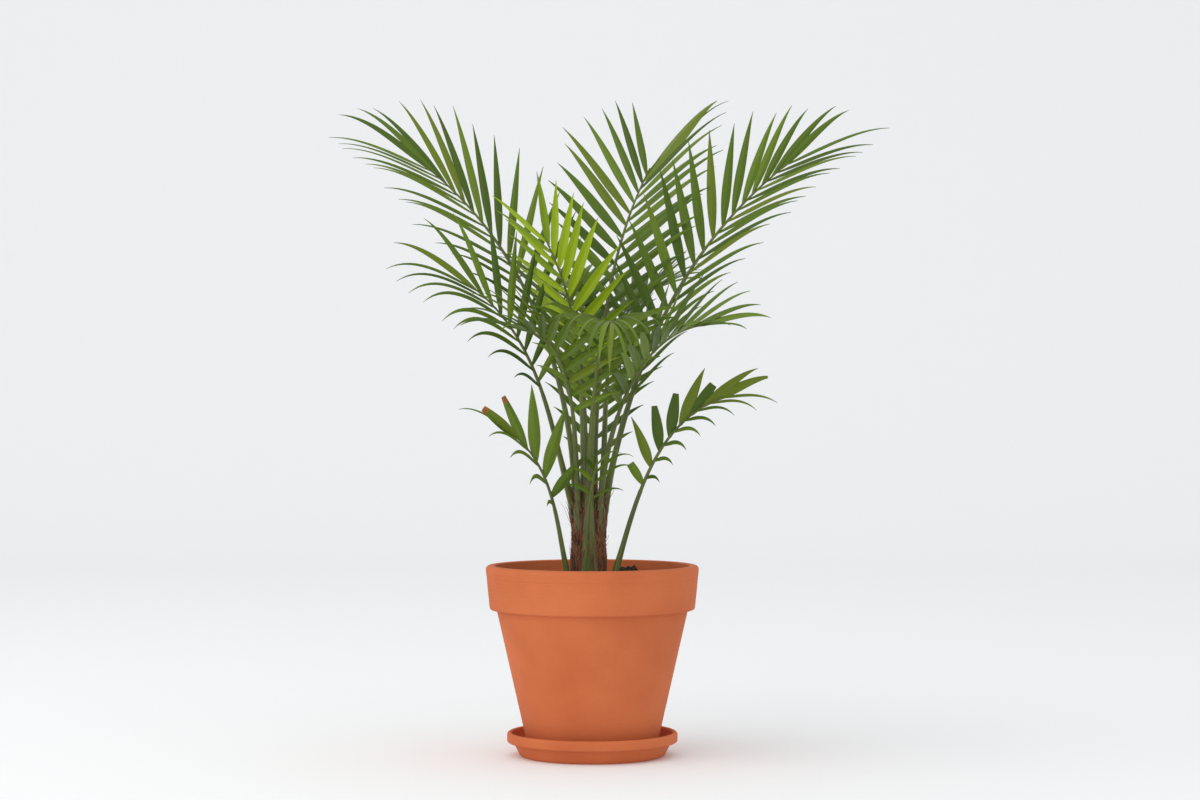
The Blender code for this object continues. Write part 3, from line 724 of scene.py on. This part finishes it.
def strand_blank():
    """A thin four-sided rod along X, one long and one in radius."""
    bm = bmesh.new()
    rings = []
    for i in range(STRAND_STEPS + 1):
        frame_at = ring_frame(Vector((i / STRAND_STEPS, 0, 0)), Vector((0, 1, 0)), Vector((0, 0, 1)))
        rings.append((frame_at, 1.0, 1.0))
    add_limb(bm, rings, 4)
    bmesh.ops.recalc_face_normals(bm, faces=bm.faces)
    return blank_mesh("strand blank", bm)


def blank_mesh(name, bm):
    """Keep a blank as a mesh."""
    mesh = bpy.data.meshes.new(name)
    bm.to_mesh(mesh)
    bm.free()
    return mesh


def add_bent(bm, blank, place, tint=0):
    """Add a copy of a blank with each of its points moved by a rule."""
    first_vert, first_face = len(bm.verts), len(bm.faces)
    bm.from_mesh(blank)
    bm.verts.ensure_lookup_table()
    bm.faces.ensure_lookup_table()
    for vert in bm.verts[first_vert:]:
        vert.co = place(vert.co)
    for face in bm.faces[first_face:]:
        face.material_index = tint(face) if callable(tint) else tint


LEAF_BLANK = leaf_blank()
STRAND_BLANK = strand_blank()


def leaf_share(share):
    """Width at a share of the length, of the widest: a quick swell, then a long taper."""
    if share < LEAF_WIDEST:
        return mix(LEAF_BASE_SHARE, 1.0, sin(share / LEAF_WIDEST * pi / 2) ** 0.85)
    return max(0.03, 1 - ((share - LEAF_WIDEST) / (1 - LEAF_WIDEST)) ** 1.65)


def leaflet_line(rib, leaf, twist, bend):
    """Centre points and cross-section axes along a leaflet, from root to tip."""
    place, sign, row, sweep, lift, length, droop, _ = leaf
    along, side, face = rib.frame(place)
    turn, rise = radians(sweep), radians(lift)
    out = side * (sign * cos(rise)) + face * sin(rise)
    heading = along * cos(turn) + out * sin(turn)
    centre = rib.point(place) - heading * LEAFLET_SINK
    across = (along - heading * along.dot(heading)).normalized()
    aside = across.copy()
    stations = []
    for i in range(LEAF_STEPS + 1):
        share = i / LEAF_STEPS
        fall = droop * share * share + TIP_FALL * share ** 5
        bent = (heading - UP * fall + aside * (bend * share)).normalized()
        across = (across - bent * across.dot(bent)).normalized()
        turned_by = radians(-sign * (row.twist + twist) * share)
        twisted = Matrix.Rotation(turned_by, 3, bent) @ across
        stations.append((centre.copy(), twisted, (twisted.cross(bent) * sign).normalized()))
        centre = centre + bent * (length / LEAF_STEPS)
    return stations


def add_leaflet(bm, stations, width, tint, cut, browned):
    """Bend a leaf blank along a leaflet's line. A cut leaflet ends short and blunt, or browned."""
    def place(point):
        share = point.x * cut
        spot = share * LEAF_STEPS
        index = min(int(spot), LEAF_STEPS - 1)
        part = spot - index
        near, far = stations[index], stations[index + 1]
        half = width * leaf_share(share) / 2
        centre = near[0].lerp(far[0], part)
        across = near[1].lerp(far[1], part)
        face = near[2].lerp(far[2], part)
        rise = LEAF_THICKNESS * point.z - LEAF_FOLD * half * abs(point.y)
        return centre + across * (half * point.y) + face * rise

    def dried(face):
        tip = place(Vector((1.0, 0.0, 0.0)))
        near_tip = (face.calc_center_median() - tip).length < CUT_DEPTH
        return CUT_TINT if near_tip else tint

    add_bent(bm, LEAF_BLANK, place, dried if browned else tint)


def pick_tint(dice):
    """Which of a frond's leaf greens a leaflet takes, at random. Two of them are painted light and painted
    shade.
    """
    roll = dice.random()
    for tint, chance in TINT_CHANCES:
        roll -= chance
        if roll < 0:
            return tint
    return 0


def make_blade(frond, rib):
    """The frond's rib and its leaflets, in place of its solid."""
    node = "frond_" + frond.name
    # Greens by tint: mid, painted light, painted shade, yellowish, dried cut edge.
    greens = [LEAF_MID, LEAF_PAINTED_LIT, LEAF_PAINTED_SHADE, LEAF_WARM, CUT_EDGE]
    # The young frond has its own green, with a darker copy of it as painted shade.
    if frond.name == "young":
        greens = [YOUNG, YOUNG, YOUNG_PAINTED_SHADE, YOUNG, CUT_EDGE]
    # These two fronds take the painted-light green in the mid green's place, so more of their leaflets
    # carry painted light.
    if frond.name in ("front_arching", "low_left"):
        greens = [LEAF_PAINTED_LIT, LEAF_PAINTED_LIT, LEAF_MID, LEAF_WARM, CUT_EDGE]
    looks = random.Random(frond.name + " looks")
    bm = bmesh.new()
    counts = {1: 0, -1: 0}
    for leaf in leaflets(frond, rib):
        sign, width = leaf[1], leaf[-1]
        key = (frond.name, sign, counts[sign])
        counts[sign] += 1
        stations = leaflet_line(rib, leaf, looks.gauss(0, TWIST_JITTER), BENDS.get(key, 0.0))
        cut = BLUNT.get(key) or BROWNED.get(key) or 1.0
        share = WIDTHS.get(key, ROW_WIDTHS.get((frond.name, sign), 1.0))
        add_leaflet(bm, stations, width * share, pick_tint(looks), cut, key in BROWNED)
    settle("leaflets_" + frond.name, bm, greens, [node], 24)
    rings = []
    start = frond.first + GAP / rib.length
    for i in range(RIB_STEPS):
        place = mix(start, RIB_END, i / (RIB_STEPS - 1))
        _, side, face = rib.frame(place)
        radius = rib.radius(place)
        rings.append((ring_frame(rib.point(place), side, face), radius * RIB_FIT[0], radius * RIB_FIT[1]))
    rib_bm = add_limb(bmesh.new(), rings, RIB_SIDES)
    bmesh.ops.recalc_face_normals(rib_bm, faces=rib_bm.faces)
    settle("rib_" + frond.name, rib_bm, [STALK], [node], 50)


def make_stalk(frond, rib):
    """The frond's stalk, widening into a clasping base."""
    base_wide, base_deep = frond.sheath or (frond.stalk * STALK_FOOT[0], frond.stalk * STALK_FOOT[1])
    rings = []
    for i in range(STALK_STEPS):
        share = i / (STALK_STEPS - 1)
        place = frond.first * share
        _, side, face = rib.frame(place)
        radius = rib.radius(place)
        if i == 0:
            side = Vector((side.x, side.y, 0.0)).normalized()
            face = UP.cross(side)
        flare = max(0.0, 1 - share / SHEATH_SHARE) ** SHEATH_CURVE
        rings.append((ring_frame(rib.point(place), side, face), mix(radius, base_wide, flare),
                      mix(radius, base_deep, flare)))
    bm = add_limb(bmesh.new(), rings, STALK_SIDES)
    bmesh.ops.recalc_face_normals(bm, faces=bm.faces)
    settle("petiole_" + frond.name, bm, [STALK], ["stalk_" + frond.name], 60)


# Stem

def trunk_radius(share):
    """The stem's radius at a share of its height."""
    for (low, small), (high, large) in zip(TRUNK_RINGS, TRUNK_RINGS[1:]):
        if share <= high:
            return mix(small, large, (share - low) / (high - low))
    return TRUNK_RINGS[-1][1]


def make_trunk():
    """The stem's body, ridged where old leaf bases wrap it."""
    bottom = MIX_TOP + GAP
    rings = []
    for i in range(TRUNK_RELIEF_RINGS + 1):
        share = i / TRUNK_RELIEF_RINGS
        centre = Vector((TRUNK_X, 0.0, mix(bottom, TRUNK_TOP, share)))
        upper = max(0.0, (share - TRUNK_TOP_STARTS) / (1 - TRUNK_TOP_STARTS))
        radius = trunk_radius(share) * TRUNK_FIT * (1 - TRUNK_TOP_NARROWS * upper ** 2)
        rings.append((ring_frame(centre, Vector((1, 0, 0)), Vector((0, 1, 0))), radius, radius))
    bm = add_limb(bmesh.new(), rings, TRUNK_SIDES)
    for vert in bm.verts:
        out = Vector((vert.co.x - TRUNK_X, vert.co.y, 0.0))
        if out.length < 0.01:
            continue
        ridges = noise.fractal(Vector((out.x * 130, out.y * 130, vert.co.z * 14)), 0.7, 2.1, 4)
        steps = 0.5 + 0.5 * sin(vert.co.z * 230 + 3 * noise.noise(out * 40))
        vert.co += out.normalized() * (RIDGE_DEPTH * ridges + STEP_DEPTH * steps)
    bmesh.ops.recalc_face_normals(bm, faces=bm.faces)
    settle("fibrous_stem", bm, [FIBRE], ["trunk"], 50)


def make_leaf_bases():
    """Each stalk's clasping base. The front one runs down the stem, fibre hides the others."""
    bm = bmesh.new()
    bottom = MIX_TOP + GAP
    front = min(FRONDS, key=lambda frond: (bool(frond.sheath), frond.foot[1]))
    for frond in FRONDS:
        if frond.sheath or frond.name == "young":
            continue
        low, base = (0.0, FRONT_BASE) if frond is front else (FIBRE_COVERS, HIDDEN_BASE)
        foot = Vector(frond.foot)
        out = Vector((foot.x - TRUNK_X, foot.y, 0.0)).normalized()
        around = UP.cross(out)
        rings = []
        for i in range(BASE_RINGS):
            share = i / (BASE_RINGS - 1)
            height = mix(mix(bottom + 0.001, TRUNK_TOP, low), TRUNK_TOP + BASE_OVERLAP, share)
            trunk_share = min((height - bottom) / (TRUNK_TOP - bottom), 1.0)
            away = mix(trunk_radius(trunk_share) - 0.0012, STALK_CIRCLE + 0.0008,
                       max(0.0, share - 0.75) * 4)
            centre = Vector((TRUNK_X, 0.0, height)) + out * away
            wide = mix(base[0], frond.stalk * 1.1, share ** 0.5)
            deep = mix(base[1], frond.stalk * 0.80, share ** 2)
            rings.append((ring_frame(centre, around, out), wide, deep))
        add_limb(bm, rings, BASE_SIDES)
    bmesh.ops.recalc_face_normals(bm, faces=bm.faces)
    settle("leaf_bases", bm, [SHEATH], ["trunk"], 50)


def add_strand(bm, start, heading, length, thick, sag, dice, tint):
    """One fibre strand: a thin rod that wanders and sags towards its end."""
    aside = heading.cross(UP if abs(heading.z) < 0.9 else Vector((1, 0, 0))).normalized()
    above = aside.cross(heading)
    wander = dice.uniform(-STRAND_WANDER, STRAND_WANDER) * length
    phase = dice.uniform(0, 2 * pi)

    def place(point):
        share = point.x
        thin = thick * (1 - STRAND_TAPER * share)
        middle = start + heading * (length * share) + aside * (wander * sin(share * pi))
        middle += above * (0.03 * length * sin(share * 5 + phase)) - UP * (sag * share * share)
        return middle + aside * (point.y * thin) + above * (point.z * thin)

    add_bent(bm, STRAND_BLANK, place, tint)


def make_fibre():
    """Brown strands left by old leaf bases, over the stem and among the stalks' feet."""
    dice = random.Random("fibre")
    bm = bmesh.new()
    bottom = MIX_TOP + GAP
    for i in range(STEM_STRANDS):
        turn = dice.uniform(0, 2 * pi)
        share = dice.uniform(0.0, 0.8)
        out = Vector((cos(turn), sin(turn), 0.0))
        around = UP.cross(out)
        slant = radians(dice.gauss(0, 14))
        start = Vector((TRUNK_X, 0, mix(bottom, TRUNK_TOP, share)))
        start += out * (trunk_radius(share) + dice.uniform(-0.0012, 0.0010))
        heading = UP * cos(slant) + around * sin(slant)
        length = dice.uniform(0.014, 0.036)
        add_strand(bm, start, heading, length, dice.uniform(*STRAND_THICKNESS), 0.0, dice,
                   dice.choice((0, 0, 1, 1, 2)))
    for i in range(TUFT_STRANDS):
        turn = dice.uniform(0, 2 * pi)
        out = Vector((cos(turn), sin(turn), 0.0))
        start = Vector((TRUNK_X, 0, TRUNK_TOP - dice.uniform(0.0, 0.03)))
        start += out * dice.uniform(0.004, 0.024)
        heading = UP + out * dice.uniform(-0.25, 0.45) + UP.cross(out) * dice.gauss(0, 0.3)
        add_strand(bm, start, heading.normalized(), dice.uniform(0.02, 0.06),
                   dice.uniform(*STRAND_THICKNESS),
                   dice.uniform(0.0, 0.01), dice, dice.choice((0, 1, 1, 2)))
    bmesh.ops.recalc_face_normals(bm, faces=bm.faces)
    settle("fibre_strands", bm, [STRAND_RED, FIBRE, STRAND_DARK], ["trunk"], 80)


# Studio

def make_stage():
    """A pale floor that curves up into a pale backdrop."""
    bm = bmesh.new()
    profile = [(SWEEP_FRONT, 0.0)]
    profile += arc(SWEEP_BEND_AT, SWEEP_BEND, SWEEP_BEND, -90, 0, SWEEP_STEPS)
    profile += [(SWEEP_BEND_AT + SWEEP_BEND, SWEEP_TOP)]
    verts = [bm.verts.new((-SWEEP_HALF_WIDTH, y, z)) for y, z in profile]
    edges = [bm.edges.new(pair) for pair in zip(verts, verts[1:])]
    made = bmesh.ops.extrude_edge_only(bm, edges=edges)
    swept = [part for part in made["geom"] if isinstance(part, bmesh.types.BMVert)]
    bmesh.ops.translate(bm, verts=swept, vec=(2 * SWEEP_HALF_WIDTH, 0, 0))
    bmesh.ops.recalc_face_normals(bm, faces=bm.faces)
    mesh = bpy.data.meshes.new("studio_sweep")
    bm.to_mesh(mesh)
    bm.free()
    mesh.shade_smooth()
    paper = bpy.data.materials.new("studio paper")
    paper.use_nodes = True
    shader = paper.node_tree.nodes["Principled BSDF"]
    shader.inputs["Base Color"].default_value = (0.925, 0.930, 0.935, 1.0)
    shader.inputs["Roughness"].default_value = 0.9
    shader.inputs["Specular IOR Level"].default_value = 0.1
    mesh.materials.append(paper)
    sweep = bpy.data.objects.new("studio_sweep", mesh)
    bpy.context.scene.collection.objects.link(sweep)


def soft_light(name, at, target, width, watts, colour):
    """A large square light aimed at a point."""
    data = bpy.data.lights.new(name, "AREA")
    data.shape = "SQUARE"
    data.size = width
    data.energy = watts
    data.color = colour
    lamp = bpy.data.objects.new(name, data)
    lamp.location = at
    lamp.rotation_euler = (Vector(target) - Vector(at)).to_track_quat("-Z", "Y").to_euler()
    bpy.context.scene.collection.objects.link(lamp)


def light_studio():
    """An even pale surround, a soft key from the upper left and a weak fill."""
    world = bpy.data.worlds.new("studio surround")
    bpy.context.scene.world = world
    world.use_nodes = True
    surround = world.node_tree.nodes["Background"]
    surround.inputs["Color"].default_value = (0.97, 0.985, 1.0, 1.0)
    surround.inputs["Strength"].default_value = 0.88
    soft_light("key", (-2.5, -1.9, 2.6), (0, 0, 0.45), 5.0, 64.0, (1.0, 0.97, 0.91))
    soft_light("fill", (2.4, -2.6, 1.6), (0, 0, 0.4), 2.0, 2.0, (0.97, 0.985, 1.0))


def place_camera():
    """The camera, level and square on, from where the photograph was taken."""
    data = bpy.data.cameras.new("camera")
    data.lens = CAMERA_LENS
    data.sensor_width = SENSOR_WIDTH
    camera = bpy.data.objects.new("camera", data)
    camera.location = CAMERA_AT
    camera.rotation_euler = (radians(90), 0, 0)
    bpy.context.scene.collection.objects.link(camera)
    bpy.context.scene.camera = camera


bpy.context.scene.view_settings.view_transform = "Standard"
make_stage()
light_studio()
place_camera()
make_saucer()
make_pot()
make_mix_surface()
make_trunk()
make_leaf_bases()
make_fibre()
for frond in FRONDS:
    rib = Rib(frond)
    make_stalk(frond, rib)
    make_blade(frond, rib)
